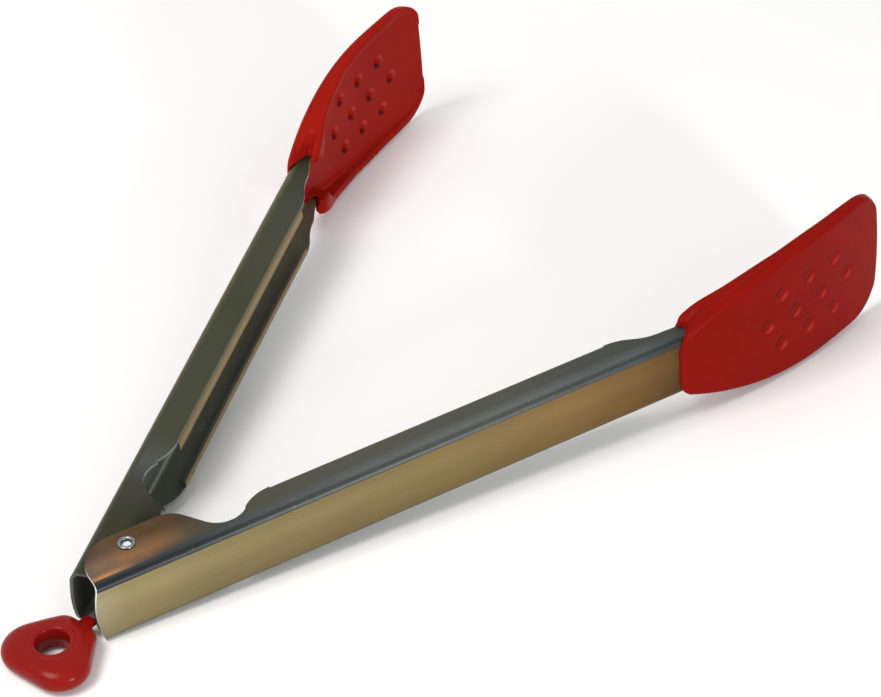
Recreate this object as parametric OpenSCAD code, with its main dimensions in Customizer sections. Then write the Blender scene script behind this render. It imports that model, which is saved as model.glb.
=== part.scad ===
// Spring loaded kitchen tongs: two nested channel arms on one tubular rivet, held open by a
// torsion spring, with soft head covers and a pull tab that slides a lock strip.
// Frame: origin on the lower rivet head's face, +Z along the pivot, +X towards the heads.
// Arm frame: x along the arm from the pivot, y inward (the web is at -y), z along the pivot.

/* [Arms] */
// Width of the outer arm's channel
arm_w = 21.2; // [19:0.2:24]
// Sheet thickness of both arms
sheet = 0.9; // [0.7:0.05:1.1]
// Distance from the pivot to the outside of a web
web_y = 12; // [11.4:0.1:12.6]
// Outside radius of the bend between web and flange
bend_r = 2.75; // [2.2:0.05:3.2]
// Side gap between the inner arm and the outer arm around it
nest_gap = 0.15; // [0.1:0.05:0.25]
// Distance from the pivot to where a head cover starts
cover_x = 175.5; // [150:0.5:220]
// Angle between the arms when the spring holds them open
open_angle = 44; // [36:1:46]

/* [Ears and notches] */
// Height of an ear's inner edge above the pivot axis
ear_top = 5.2; // [5:0.1:6.5]
// Distance from the pivot to where an ear's front starts to round
ear_front = 11.7; // [11:0.1:13.5]
// Radius of an ear's front shoulder
ear_front_r = 8; // [7:0.1:9]
// Distance from the pivot to the end of the outer arm's ears
outer_end = 14.4; // [13.5:0.1:15.5]
// Radius of the outer arm's ear ends
outer_end_r = 11; // [9:0.5:12]
// Distance from the pivot to the end of the inner arm's ears
inner_end = 13.4; // [12.5:0.1:13.8]
// Radius of the inner arm's ear ends, which clear the outer web
inner_end_r = 12.4; // [12:0.1:13]
// How far the outer web's rounded end stands past its ears
outer_tongue = 1.5; // [0.8:0.1:2.5]
// How far the inner web's rounded end stands past its ears
inner_tongue = 1.8; // [1:0.1:2.5]
// Distance from the pivot to the middle of the notch behind the ears
notch_x = 29; // [28.5:0.1:31]
// Radius of the notch
notch_r = 8; // [7:0.1:9]
// Depth of the outer arm's notch below the pivot axis
outer_notch = 7.6; // [7:0.1:8.2]
// Depth of the inner arm's notch below the pivot axis
inner_notch = 5.7; // [5:0.1:7]

/* [Lips and neck] */
// Gap between the pivot plane and a lip's outer face
lip_y = 0.75; // [0.6:0.05:1.4]
// Width of a lip, measured across the channel
lip_depth = 3.5; // [3:0.05:4.5]
// Outside radius of the bend between flange and lip
lip_r = 1.5; // [1.3:0.05:2]
// How far a flange drops where its lip ends
lip_fade = 0.5; // [0.2:0.1:0.8]
// Distance from the pivot to the start of the lips
lip_start = 44; // [42:0.5:50]
// Length of the sloping shoulder between the lips and the head
shoulder_run = 17; // [14:0.5:20]
// Length of the low neck between shoulder and head cover
neck_run = 4.5; // [3:0.5:8]
// Depth of the outer arm's neck below the pivot axis
outer_neck = 5.4; // [5:0.1:6.5]
// Depth of the inner arm's neck below the pivot axis
inner_neck = 4.4; // [4:0.1:6]
// Further depth that the outer arm's neck loses by the end of its tang
outer_fall = 0.5; // [0:0.1:1]
// Further depth that the inner arm's neck loses by the end of its tang
inner_fall = 3.6; // [2:0.1:4]
// Length of channel held inside a head cover
tang_run = 9; // [6:0.5:12]

/* [Heads] */
// Length of a head cover
head_len = 79; // [68:1:90]
// Half of a head cover's greatest width
head_half = 23.3; // [20:0.1:27]
// Wall of a head cover's sleeve beside the outer arm
sleeve_wall = 1; // [0.9:0.05:2]
// Length over which a head cover widens from its sleeve
flare_run = 52; // [44:1:60]
// Radius along which a head curves inward
head_r = 192; // [170:1:210]
// Thickness of the cover over the steel core
skin = 0.85; // [0.8:0.05:1.2]
// Radius of a head's tip corners
tip_r = 11.5; // [8:0.5:14]
// Height of the side rims at the sleeve end
rim_h = 9.1; // [8.4:0.1:9.6]
// Loss of rim height for each millimetre along the first stretch
rim_slope = 0.108; // [0.1:0.004:0.14]
// Rim height where the first stretch's slope eases, carried back to the sleeve end
rim_low = 6.5; // [6.1:0.1:6.8]
// Loss of rim height for each millimetre along the rest of the head
rim_ease = 0.037; // [0.03:0.001:0.038]
// Width of a side rim
rim_w = 3; // [2.4:0.1:4]
// Distance from a core blade's sides to the cover's sides
core_inset = 5; // [4:0.5:7]
// Distance from a core blade's tip to the cover's tip
core_short = 18; // [16:1:30]

/* [Grip] */
// Distance from the sleeve end to the middle of the grip pattern
grip_mid = 46.8; // [42:0.2:50]
// Spacing of the grip bumps along the head
grip_pitch = 11.2; // [9:0.1:12]
// Spacing of the three grip rows across the head
grip_row = 9.5; // [7:0.1:11]
// Radius of a grip bump and of the dimple behind it
grip_r = 2; // [1.5:0.1:2.5]
// Height of a grip bump
grip_h = 0.9; // [0.6:0.05:1.1]
// Depth of a dimple
dimple_h = 0.6; // [0.4:0.05:0.8]

/* [Pivot] */
// Radius of the rivet's shank
rivet_r = 2; // [1.8:0.05:2.2]
// Radius of the rivet's heads
rivet_head_r = 2.65; // [2.5:0.05:3]
// Height of the lower rivet head
rivet_head_h = 0.9; // [0.7:0.05:1.2]
// Radius of the rivet's hollow
rivet_bore_r = 1.15; // [0.9:0.05:1.3]
// Depth of the rivet's hollow
rivet_bore_h = 4; // [2:0.5:8]
// Wall of the spacer sleeve on the rivet
spacer_wall = 0.7; // [0.6:0.05:0.9]
// Running clearance of turning parts on the pivot
run_fit = 0.05; // [0.03:0.01:0.08]
// Clearance of the fixed parts on the rivet
seat_fit = 0.02; // [0.01:0.01:0.03]

/* [Spring] */
// Diameter of the spring wire
wire = 1.4; // [1:0.1:1.5]
// Number of turns in the spring
turns = 5; // [4:1:6]
// Clearance between the spring and the spacer sleeve
coil_fit = 0.4; // [0.3:0.05:0.5]
// Length of a spring leg
leg_run = 30; // [24:1:36]

/* [Lock] */
// Depth of the lock strip's middle below the arms' mid-plane
strip_drop = 5; // [4.8:0.1:5.4]
// Thickness of the lock strip
strip_t = 1.2; // [1:0.1:1.4]
// Wall of the strip beside its slot
strip_wall = 1.9; // [1.6:0.1:2.1]
// Half of the width of the strip's tail
tail_half = 1.3; // [1.1:0.1:1.4]
// Travel of the pull tab from pushed to pulled
travel = 6; // [5.6:0.1:6.2]
// Distance from the pivot to the lock stud when the tab is pulled
stud_hold = 17.5; // [17.4:0.1:17.7]
// Radius of the lock stud
stud_r = 1.3; // [1.1:0.05:1.35]
// Clearance of the lock stud in the ears' hook slots
hook_fit = 0.25; // [0.2:0.05:0.35]
// Radius of the guide bush's neck
guide_r = 3.8; // [3.7:0.05:3.9]
// Half of the distance between the guide neck's flats
guide_flat = 3.4; // [3.3:0.05:3.5]
// Radius of the guide bush's flange and washer
flange_r = 4.8; // [4.5:0.1:5.2]
// Thickness of the guide washer
washer_t = 0.8; // [0.6:0.1:1]

/* [Pull tab] */
// Distance from the pivot to the tab's front edge
tab_front = 20.5; // [20.5:0.1:24]
// Length of the tab
tab_len = 23.5; // [22:0.5:28]
// Width of the tab
tab_w = 27; // [24:0.5:30]
// Width of the tab's front edge
tab_front_w = 15; // [13:0.5:17]
// Thickness of the tab
tab_t = 8; // [7:0.1:8.4]
// Radius of the rear corners, seen from above
tab_rear_r = 8; // [7:0.1:9]
// Radius of the front corners, seen from above
tab_front_r = 4.2; // [4.2:0.1:5]
// Radius of the hang hole
hang_r = 4.8; // [4.2:0.1:5]
// Radius of the hang hole's rounded rims
hang_rim = 1.6; // [1:0.1:2]
// Half of the width of the tab's neck
neck_half = 2.1; // [2:0.05:2.2]
// Length of the tab's neck
neck_len = 3.4; // [2.5:0.1:3.6]

/* [Hidden] */
round_fn = 48;
big_fn = 360;
over = 1;
root = 0.5;

inner_w = arm_w - 2 * sheet - 2 * nest_gap;
inner_gap = inner_w - 2 * sheet;
mid_z = arm_w / 2 + rivet_head_h;
sleeve_half = arm_w / 2 + sleeve_wall;
side_step = 54;
rise_step = 42;
rise_r = 14;
lip_end = cover_x - neck_run - shoulder_run;
flange_top = -lip_y - lip_fade;
core_end = head_len - core_short;
floor_t = 2 * skin + sheet;
tang_seat = inner_gap / 2 - skin;
spacer_r = rivet_r + seat_fit + spacer_wall;
spacer_h = inner_gap - 0.2;
guide_bore = spacer_r + run_fit;
strip_top = -strip_drop + strip_t / 2;
strip_low = -strip_drop - strip_t / 2;
washer_top = strip_top + run_fit + washer_t;
slot_half = guide_flat + run_fit;
slot_r = guide_r + 2 * run_fit;
strip_half = slot_half + strip_wall;
strip_r = slot_r + strip_wall;
stud_x = stud_hold + travel;
stud_low = -arm_w / 2 - 0.5;
stub_r = stud_r - 0.4;
stud_head_r = stud_r + 0.4;
stud_head_h = 0.5;
coil_r = spacer_r + coil_fit;
coil_low = washer_top + 0.15;
hang_x = tab_front + tab_len / 2;
tail_end = hang_x - hang_r - 1.6;
tip_gap = 0.3;
tip_top = curve_at(head_len, web_y + skin) + rim_at(head_len);
closed_half = atan((tip_top + tip_gap / 2) / (cover_x + head_len));

// Points on an arc about (x, y)
function arc(x, y, r, a0, a1, n = 10) =
    [for (i = [0:n]) [x + r * cos(a0 + (a1 - a0) * i / n), y + r * sin(a0 + (a1 - a0) * i / n)]];
// Distances along a head, closer together at both ends
function station(i, n) = head_len * (1 - cos(180 * i / n)) / 2;
// Half of a head's width at a distance from its sleeve end
function half_at(s) =
    min(head_half - (head_half - sleeve_half) * pow(max(0, 1 - s / flare_run), 2),
        head_half - tip_r + sqrt(max(0, pow(tip_r, 2) - pow(max(0, s - head_len + tip_r), 2))));
// Height of a head's side rims above its outer face
function rim_at(s) = max(rim_h - rim_slope * s, rim_low - rim_ease * s);
// How far a head has curved inward, for a face that starts at depth d below the pivot plane
function curve_at(s, d) = -d + (head_r + d - web_y) - sqrt(pow(head_r + d - web_y, 2) - s * s);

// Carries the outer arm's frame to the part's frame
module outer_pose() {
    rotate([0, 0, -open_angle / 2]) translate([0, 0, mid_z]) children();
}

// Carries the inner arm's frame, a mirror image, to the part's frame
module inner_pose() {
    rotate([0, 0, open_angle / 2]) mirror([0, 1, 0]) translate([0, 0, mid_z]) children();
}

// Box outline with its own corner radius at the low and the high side
module soft_box(w, low, high, r_low, r_high) {
    for (side = [-1, 1]) {
        translate([side * (w / 2 - r_low), low + r_low]) circle(r_low, $fn = round_fn);
        translate([side * (w / 2 - r_high), high - r_high]) circle(r_high, $fn = round_fn);
    }
    translate([-w / 2, low + r_low]) square([w, high - low - r_low - r_high]);
    translate([-w / 2 + r_low, low]) square([w - 2 * r_low, r_low]);
    translate([-w / 2 + r_high, high - r_high]) square([w - 2 * r_high, r_high]);
}

// Extrudes an outline in (z, y) along x
module along_arm(x0, x1) {
    translate([x0, 0, 0]) rotate([0, 90, 0]) linear_extrude(x1 - x0) children();
}

// Plain channel with flanges that stop at top
module channel_outline(w, top) {
    difference() {
        soft_box(w, -web_y, top, bend_r, 0.1);
        soft_box(w - 2 * sheet, -web_y + sheet, top + over, bend_r - sheet, 0.1);
    }
}

// Channel whose flanges end in lips that turn inward
module lipped_outline(w) {
    difference() {
        soft_box(w, -web_y, -lip_y, bend_r, lip_r);
        soft_box(w - 2 * sheet, -web_y + sheet, -lip_y - sheet, bend_r - sheet, lip_r - sheet);
        translate([-w / 2 + lip_depth, -web_y / 2]) square([w - 2 * lip_depth, web_y]);
    }
}

// The lips alone, each with a short root that overlaps its flange
module lip_outline(w) {
    intersection() {
        lipped_outline(w);
        translate([-w, -lip_y - lip_r - root]) square([2 * w, web_y]);
    }
}

// Side view of the flanges with ear and notch, and with their low edges under the lips
module ear_side(end, end_r, notch) {
    polygon(concat(
        [[-end - 8, -web_y - over], [lip_end + root, -web_y - over]],
        [[lip_end + root, -lip_y - lip_r], [lip_start, -lip_y - lip_r], [lip_start, flange_top]],
        arc(lip_start, flange_top - rise_r, rise_r, 90, 90 + rise_step),
        arc(notch_x, -notch + notch_r, notch_r, 270 + rise_step, 270 - side_step),
        arc(ear_front, ear_top - ear_front_r, ear_front_r, 90 - side_step, 90),
        arc(end_r - end, ear_top - end_r, end_r, 90, 180),
        [[-end, -web_y + bend_r], [-end - 8, -web_y + bend_r]]));
}

// Side view of the flanges from the lips over the shoulder to the low neck
module neck_side(neck, fall) {
    drop = neck + flange_top;
    turn = 2 * atan(drop / shoulder_run);
    r = shoulder_run / (2 * sin(turn));
    polygon(concat(
        [[lip_end, -web_y - over]],
        arc(lip_end, flange_top - r, r, 90, 90 - turn, 6),
        arc(lip_end + shoulder_run, -neck + r, r, 270 - turn, 270, 6),
        [[cover_x + tang_run, -neck - fall], [cover_x + tang_run, -web_y - over]]));
}

// Plan view of a web, with its end rounded past the ears
module web_plan(w, end, tongue) {
    chord = w / 2 - 0.8;
    r = (chord * chord + tongue * tongue) / (2 * tongue);
    translate([-end - tongue + r, 0]) intersection() {
        circle(r, $fn = big_fn);
        translate([-r, -chord]) square([tongue + over, 2 * chord]);
    }
    translate([-end, -w]) square([lip_end + root + end, 2 * w]);
}

// Curved steel blade that carries on from the web inside a head cover
module head_core() {
    intersection() {
        translate([cover_x, 0, -head_half]) linear_extrude(2 * head_half) intersection() {
            translate([0, head_r - web_y]) difference() {
                circle(head_r, $fn = big_fn);
                circle(head_r - sheet, $fn = big_fn);
            }
            translate([tang_run - root, -web_y - over]) square([head_len, head_len]);
        }
        translate([0, head_len, 0]) rotate([90, 0, 0]) linear_extrude(2 * head_len)
            core_plan();
    }
}

// Plan view of the blade, set back from the cover's edge
module core_plan() {
    steps = 16;
    side = [for (i = [0:steps]) let (s = core_end * i / steps)
        [cover_x + s, half_at(s) - core_inset]];
    polygon(concat(side, [for (i = [steps:-1:0]) [side[i][0], -side[i][1]]]));
}

// Channel from x0 to the end of its tang, with the shoulder and the low neck
module neck_channel(w, neck, fall, x0) {
    intersection() {
        along_arm(x0, cover_x + tang_run) channel_outline(w, -lip_y + over);
        translate([0, 0, -w]) linear_extrude(2 * w) neck_side(neck, fall);
    }
}

// Channel with its ears and rounded web end, up to the shoulder
module ear_channel(w, end, end_r, tongue, notch) {
    intersection() {
        along_arm(-end - tongue - over, lip_end + root) channel_outline(w, ear_top + over);
        translate([0, 0, -w]) linear_extrude(2 * w) ear_side(end, end_r, notch);
        translate([0, web_y, 0]) rotate([90, 0, 0]) linear_extrude(4 * web_y)
            web_plan(w, end, tongue);
    }
}

// Slot in a lower ear's front edge that catches the lock stud
module hook_slot(w) {
    half = stud_r + hook_fit;
    rotate([0, 0, closed_half]) translate([0, 0, -w / 2 - over]) {
        translate([stud_hold, 0, 0]) cylinder(h = sheet + 2 * over, r = half, $fn = round_fn);
        translate([stud_hold, -half, 0]) cube([ear_front_r, 2 * half, sheet + 2 * over]);
    }
}

// One arm with its pivot holes and hook slot
module arm(w, end, end_r, tongue, notch, neck, fall, hole_r) {
    difference() {
        ear_channel(w, end, end_r, tongue, notch);
        translate([0, 0, -w]) cylinder(h = 2 * w, r = hole_r, $fn = round_fn);
        hook_slot(w);
    }
    along_arm(lip_start, lip_end) lip_outline(w);
    neck_channel(w, neck, fall, lip_end);
    head_core();
}

// Cross-section of a head at a distance from its sleeve end, as (z, y) points
function head_ring(s) =
    let (half = half_at(s) - end_ease(s), low = curve_at(s, web_y + skin) + end_ease(s),
        high = low + rim_at(s) - 2 * end_ease(s), flat = min(low + floor_t, high - 0.2),
        r = min(2.2, (high - low) * 0.48), rr = min(1.1, (high - low) * 0.3),
        inner = min(half - rim_w, tang_seat + max(0, s - tang_run)),
        foot = inner - (high - flat) * 0.15,
        side = concat(arc(half - r, low + r, r, 270, 360, 4),
            arc(half - rr, high - rr, rr, 0, 90, 3),
            [[inner, high - 0.1], [foot, flat + 0.1], [foot * 0.8, flat]]))
    concat([[0, low]], side, [[0, flat]],
        [for (i = [len(side) - 1:-1:0]) [-side[i][0], side[i][1]]]);
// Rounding of a head cover's two ends
function end_ease(s) = 0.7 * (pow(max(0, 1 - s / 1.5), 2) + pow(max(0, 1 - (head_len - s) / 3), 2));
// Triangles that close an end of m points: each wall fans from its foot, the floor from its middle
function end_faces(m) =
    let (foot = m / 2 - 2,
        right = concat([for (j = [1:foot - 2]) [j, j + 1, foot]],
            [[0, 1, foot], [0, foot, foot + 1], [0, foot + 1, foot + 2]]))
    concat(right, [for (tri = right) [for (p = [tri[2], tri[1], tri[0]]) (m - p) % m]]);

// Head cover's outside, swept through its cross-sections
module head_shell() {
    n = 24;
    rings = [for (i = [0:n]) let (s = station(i, n)) [for (p = head_ring(s)) [cover_x + s, p[1], p[0]]]];
    m = len(rings[0]);
    points = [for (ring = rings) for (p = ring) p];
    sides = [for (i = [0:n - 1]) for (j = [0:m - 1]) let (a = i * m + j, b = i * m + (j + 1) % m)
        for (tri = [[a, b, a + m], [b, b + m, a + m]]) tri];
    first_end = [for (tri = end_faces(m)) [tri[2], tri[1], tri[0]]];
    last_end = [for (tri = end_faces(m)) [for (p = tri) n * m + p]];
    polyhedron(points, concat(sides, first_end, last_end), convexity = 6);
}

// Calls its children at each place of the grip pattern
module grip_places() {
    for (row = [-1:1]) {
        count = row == 0 ? 4 : 3;
        for (i = [0:count - 1]) {
            s = grip_mid + (i - (count - 1) / 2) * grip_pitch;
            translate([cover_x + s, curve_at(s, web_y + skin), row * grip_row])
                rotate([0, 0, asin(s / (head_r + skin))]) children();
        }
    }
}

// Soft cover over an arm's tang and blade
module head_cover(w, neck, fall) {
    dimple_ball = (grip_r * grip_r + dimple_h * dimple_h) / (2 * dimple_h);
    difference() {
        union() {
            head_shell();
            grip_places() grip_bump();
        }
        grip_places() translate([0, dimple_h - dimple_ball, 0]) sphere(dimple_ball, $fn = round_fn);
        neck_channel(w, neck, fall, cover_x - over);
        head_core();
    }
}

// Low domed bump on a head's gripping side
module grip_bump() {
    ball = (grip_r * grip_r + grip_h * grip_h) / (2 * grip_h);
    translate([0, floor_t, 0]) rotate([-90, 0, 0]) rotate_extrude($fn = round_fn) {
        intersection() {
            translate([0, grip_h - ball]) circle(ball, $fn = round_fn);
            square([grip_r, grip_h]);
        }
        translate([0, -root]) square([grip_r, root]);
    }
}

module outer_arm() {
    color("#b7ab93") outer_pose()
        arm(arm_w, outer_end, outer_end_r, outer_tongue, outer_notch, outer_neck, outer_fall,
            rivet_r + seat_fit);
}

module inner_arm() {
    color("#8f9088") inner_pose()
        arm(inner_w, inner_end, inner_end_r, inner_tongue, inner_notch, inner_neck, inner_fall,
            rivet_r + run_fit);
}

module outer_head_cover() {
    color("#9c1717") outer_pose()
        head_cover(arm_w, outer_neck, outer_fall);
}

module inner_head_cover() {
    color("#9c1717") inner_pose()
        head_cover(inner_w, inner_neck, inner_fall);
}

// Tubular rivet: flat lower head, shank, and a rolled upper head round its hollow
module pivot_rivet() {
    roll = (rivet_head_r - rivet_bore_r) / 2;
    color("#d8d9dc") translate([0, 0, mid_z]) {
        translate([0, 0, -mid_z]) cylinder(h = rivet_head_h, r = rivet_head_r, $fn = round_fn);
        difference() {
            union() {
                translate([0, 0, -arm_w / 2]) cylinder(h = arm_w, r = rivet_r, $fn = round_fn);
                translate([0, 0, arm_w / 2]) rotate_extrude($fn = round_fn) intersection() {
                    translate([rivet_bore_r + roll, 0]) circle(roll, $fn = round_fn);
                    square([rivet_head_r, roll]);
                }
            }
            translate([0, 0, arm_w / 2 - rivet_bore_h])
                cylinder(h = rivet_bore_h + over, r = rivet_bore_r, $fn = round_fn);
        }
    }
}

// Tube on the rivet that keeps the ears apart
module spacer_sleeve() {
    color("#a8aaad") translate([0, 0, mid_z - spacer_h / 2]) difference() {
        cylinder(h = spacer_h, r = spacer_r, $fn = round_fn);
        translate([0, 0, -over]) cylinder(h = spacer_h + 2 * over, r = rivet_r + seat_fit, $fn = round_fn);
    }
}

// One straight leg of the spring in an arm's frame, ending against the web
module spring_leg(z) {
    start_y = coil_r + wire / 2;
    end_y = web_y - sheet - wire / 2 - 0.1;
    translate([0, -start_y, z]) rotate([0, 90, -atan((end_y - start_y) / leg_run)])
        cylinder(h = leg_run, r = wire / 2, $fn = round_fn);
}

// Torsion spring: the coil's outer shape and two legs
module torsion_spring() {
    color("#c6c8cb") {
        translate([0, 0, mid_z + coil_low]) difference() {
            cylinder(h = turns * wire, r = coil_r + wire, $fn = round_fn);
            translate([0, 0, -over]) cylinder(h = turns * wire + 2 * over, r = coil_r, $fn = round_fn);
        }
        outer_pose() spring_leg(coil_low + wire / 2);
        inner_pose() spring_leg(coil_low + (turns - 0.5) * wire);
    }
}

// Flatted neck that the lock strip slides on
module guide_neck(clear) {
    intersection() {
        circle(guide_r + 2 * clear, $fn = round_fn);
        translate([-2 * guide_r, -guide_flat - clear]) square([4 * guide_r, 2 * (guide_flat + clear)]);
    }
}

// Bush that turns on the spacer and keeps the strip in line
module guide_bush() {
    foot = -inner_gap / 2 + 0.15;
    color("#2b2b2e") translate([0, 0, mid_z]) difference() {
        union() {
            translate([0, 0, foot])
                cylinder(h = strip_low - run_fit - foot, r = flange_r, $fn = round_fn);
            translate([0, 0, strip_low - run_fit])
                linear_extrude(strip_t + 2 * run_fit) guide_neck(0);
        }
        translate([0, 0, foot - over]) cylinder(h = inner_gap, r = guide_bore, $fn = round_fn);
    }
}

// Washer that keeps the strip down on the bush
module guide_washer() {
    color("#2b2b2e") translate([0, 0, mid_z + strip_top + run_fit]) difference() {
        cylinder(h = washer_t, r = flange_r, $fn = round_fn);
        translate([0, 0, -over]) cylinder(h = washer_t + 2 * over, r = guide_bore, $fn = round_fn);
    }
}

// Plan view of the strip: ring round the guide's slot, nose with the stud, and tail
module strip_plan() {
    difference() {
        union() {
            intersection() {
                union() {
                    circle(strip_r, $fn = round_fn);
                    translate([travel, 0]) circle(strip_r, $fn = round_fn);
                    translate([0, -strip_r]) square([travel, 2 * strip_r]);
                }
                translate([-strip_r, -strip_half]) square([travel + 2 * strip_r, 2 * strip_half]);
            }
            translate([travel + slot_r + 0.5, -stud_head_r - 0.9])
                square([stud_x - travel - slot_r - 0.5, 2 * stud_head_r + 1.8]);
            translate([stud_x, 0]) circle(stud_head_r + 0.9, $fn = round_fn);
            tail_plan();
        }
        guide_neck(run_fit);
        translate([travel, 0]) guide_neck(run_fit);
        translate([0, -slot_half]) square([travel, 2 * slot_half]);
        translate([stud_x, 0]) circle(stub_r + seat_fit, $fn = round_fn);
    }
}

// Tail of the strip, with a barb that the pull tab holds
module tail_plan() {
    translate([-tail_end, -tail_half]) square([tail_end - slot_r - 0.5, 2 * tail_half]);
    translate([-tail_end, -tail_half - 1]) square([1.5, 2 * tail_half + 2]);
}

module lock_strip() {
    color("#b9bcc0") translate([0, 0, mid_z + strip_low]) linear_extrude(strip_t) strip_plan();
}

// Shouldered stud that drops into the ears' hook slots
module lock_stud() {
    color("#9fa2a6") translate([stud_x, 0, mid_z]) {
        translate([0, 0, stud_low]) cylinder(h = strip_low - stud_low, r = stud_r, $fn = round_fn);
        translate([0, 0, strip_low]) cylinder(h = strip_t, r = stub_r, $fn = round_fn);
        translate([0, 0, strip_top]) cylinder(h = stud_head_h, r = stud_head_r, $fn = round_fn);
    }
}

// Disc with a full round edge, for the pull tab's corners
module tab_disc(r) {
    edge = tab_t / 2;
    rotate_extrude($fn = 32) {
        translate([r - edge, 0]) intersection() {
            circle(edge, $fn = 24);
            translate([0, -edge]) square([edge, tab_t]);
        }
        translate([0, -edge]) square([r - edge, tab_t]);
    }
}

// Pull tab: rounded triangle with a hang hole, moulded round the strip's tail
module pull_tab() {
    rear_x = -tab_front - tab_len + tab_rear_r;
    color("#9c1717") translate([0, 0, mid_z - strip_drop]) difference() {
        union() {
            hull() for (side = [-1, 1]) {
                translate([rear_x, side * (tab_w / 2 - tab_rear_r), 0]) tab_disc(tab_rear_r);
                translate([-tab_front - tab_front_r, side * (tab_front_w / 2 - tab_front_r), 0])
                    tab_disc(tab_front_r);
            }
            translate([-tab_front - tab_front_r, 0, 0]) rotate([0, 90, 0])
                linear_extrude(tab_front_r + neck_len) soft_box(tab_t * 0.6, -neck_half, neck_half, 1, 1);
        }
        translate([-hang_x, 0, 0]) hang_cut();
        translate([0, 0, -strip_t / 2]) linear_extrude(strip_t) tail_plan();
    }
}

// Hang hole with rounded rims
module hang_cut() {
    translate([0, 0, -tab_t]) cylinder(h = 2 * tab_t, r = hang_r, $fn = round_fn);
    for (side = [0, 1]) mirror([0, 0, side]) translate([0, 0, tab_t / 2 - hang_rim])
        rotate_extrude($fn = round_fn) difference() {
            square([hang_r + hang_rim, hang_rim + over]);
            translate([hang_r + hang_rim, 0]) circle(hang_rim, $fn = round_fn);
        }
}

outer_arm();
inner_arm();
outer_head_cover();
inner_head_cover();
pivot_rivet();
spacer_sleeve();
torsion_spring();
guide_bush();
guide_washer();
lock_strip();
lock_stud();
pull_tab();
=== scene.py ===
"""Spring loaded kitchen tongs: steel arms, soft head covers, pivot, spring, lock and pull tab.

Every size in the classes is in millimetres; a mesh turns them into metres when it is made.
"""

import logging
import math
from dataclasses import dataclass
from enum import Enum
from typing import Iterable, Optional, Sequence, Union

import bpy
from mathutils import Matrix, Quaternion, Vector


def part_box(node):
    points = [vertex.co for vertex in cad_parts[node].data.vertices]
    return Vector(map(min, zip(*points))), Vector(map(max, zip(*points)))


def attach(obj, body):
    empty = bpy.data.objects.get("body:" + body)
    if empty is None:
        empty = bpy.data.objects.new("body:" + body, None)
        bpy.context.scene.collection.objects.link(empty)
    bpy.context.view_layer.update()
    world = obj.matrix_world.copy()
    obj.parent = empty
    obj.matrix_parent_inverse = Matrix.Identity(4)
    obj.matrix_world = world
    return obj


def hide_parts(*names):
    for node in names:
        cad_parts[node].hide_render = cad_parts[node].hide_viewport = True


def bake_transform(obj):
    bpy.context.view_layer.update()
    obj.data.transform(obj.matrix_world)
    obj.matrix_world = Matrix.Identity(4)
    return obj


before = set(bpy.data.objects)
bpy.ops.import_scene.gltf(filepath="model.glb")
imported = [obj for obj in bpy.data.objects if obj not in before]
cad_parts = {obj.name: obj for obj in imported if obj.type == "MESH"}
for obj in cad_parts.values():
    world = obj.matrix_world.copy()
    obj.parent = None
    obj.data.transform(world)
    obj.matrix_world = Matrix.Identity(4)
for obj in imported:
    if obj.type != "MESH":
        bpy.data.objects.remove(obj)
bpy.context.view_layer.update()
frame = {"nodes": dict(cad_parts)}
log = logging.getLogger("tongs")

Rgb = tuple[float, float, float]
Stops = tuple[tuple[float, Rgb], ...]
Flat = tuple[float, float]
Faces = list[tuple[int, ...]]
Axes = tuple["Value", "Value", "Value"]

METRE = 0.001
MIX_FIRST, MIX_SECOND, MIX_RESULT = 6, 7, 2


# ---------------------------------------------------------------- small tools


def tone(red: int, green: int, blue: int) -> Rgb:
    """Turns a display colour of 0 to 255 into the linear colour that a shader takes.

    Args:
        red: Red part.
        green: Green part.
        blue: Blue part.

    Returns:
        The three linear parts, 0 to 1.
    """

    def linear(part: int) -> float:
        """One part, from display to linear."""
        x = part / 255
        return x / 12.92 if x <= 0.04045 else ((x + 0.055) / 1.055) ** 2.4

    return linear(red), linear(green), linear(blue)


def smooth(x: float, low: float, high: float) -> float:
    """Smooth step: 0 before low, 1 after high."""
    t = min(1.0, max(0.0, (x - low) / (high - low)))
    return t * t * (3 - 2 * t)


def arc(cx: float, cy: float, radius: float, start: float, end: float, steps: int) -> list[Flat]:
    """Points on an arc.

    Args:
        cx: First coordinate of the centre.
        cy: Second coordinate of the centre.
        radius: Radius.
        start: First angle in degrees.
        end: Last angle in degrees.
        steps: Number of stretches between the points.

    Returns:
        steps + 1 points.
    """
    turns = [math.radians(start + (end - start) * i / steps) for i in range(steps + 1)]
    return [(cx + radius * math.cos(a), cy + radius * math.sin(a)) for a in turns]


def between(a: float, b: float, steps: int) -> list[float]:
    """Even values from a up to, but without, b."""
    return [a + (b - a) * i / steps for i in range(steps)]


class Side(Enum):
    """The two arms; the value is the sign of an arm's y axis in the part's frame."""

    OUTER = 1
    INNER = -1


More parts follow.
